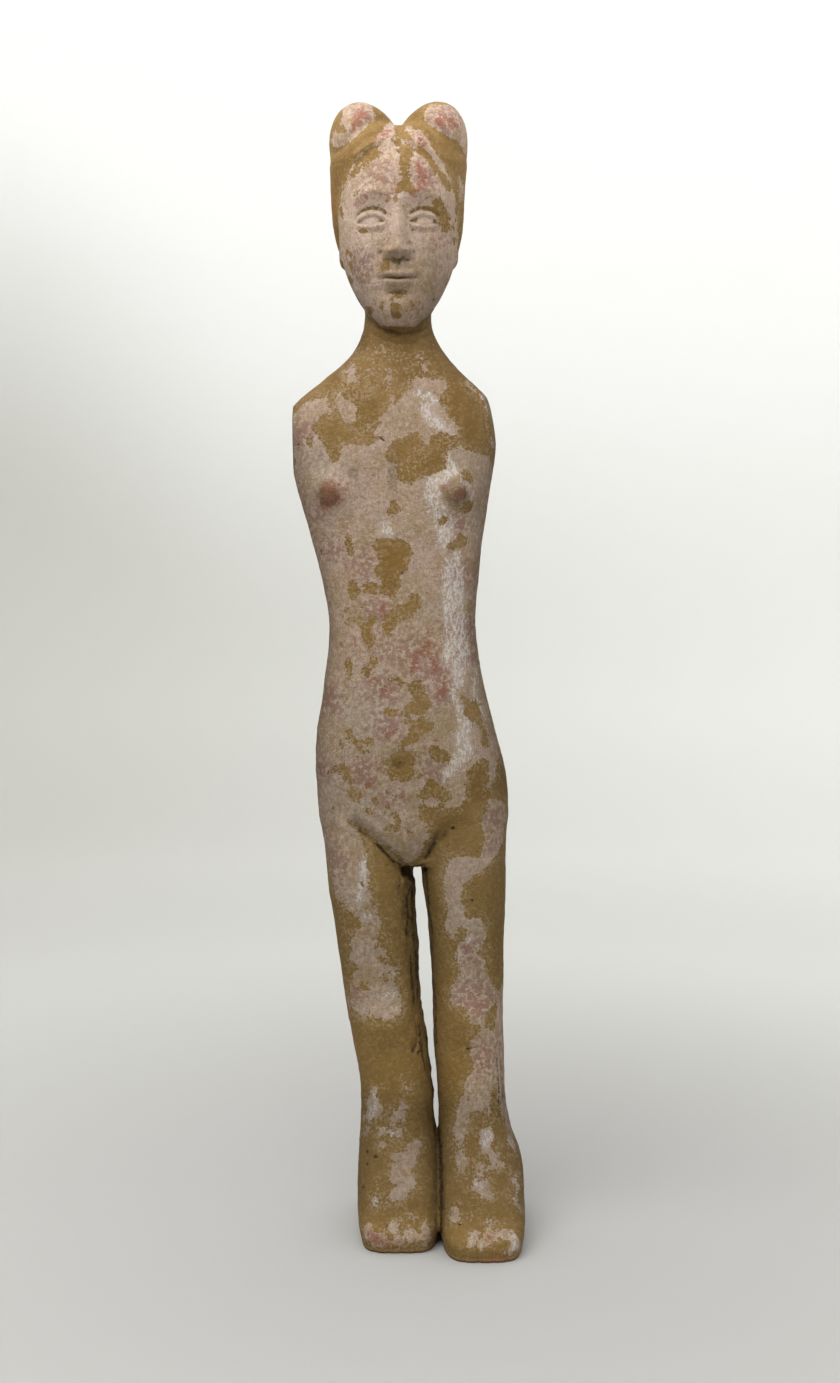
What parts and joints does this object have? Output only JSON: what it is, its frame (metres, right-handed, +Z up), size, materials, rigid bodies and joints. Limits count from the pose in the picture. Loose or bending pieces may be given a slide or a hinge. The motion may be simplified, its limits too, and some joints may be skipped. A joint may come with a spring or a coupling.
{
  "type": "terracotta figure",
  "caption": "Moulded terracotta figure of a standing woman with no arms, in one piece, on flat soles, with flat seats where the arms were.",
  "frame": {"origin": "on the ground, under the middle of the figure's bounding box", "axes": "+Z up along the figure, -Y to the front, the way the face looks, and +X to the viewer's right"},
  "size_m": [0.1128, 0.0866, 0.5501],
  "materials": {
    "terracotta": "unglazed fired clay, olive brown, with worn pink and white slip and red pigment"
  },
  "bodies": {
    "root": {"figure": "terracotta"}
  },
  "joints": []
}
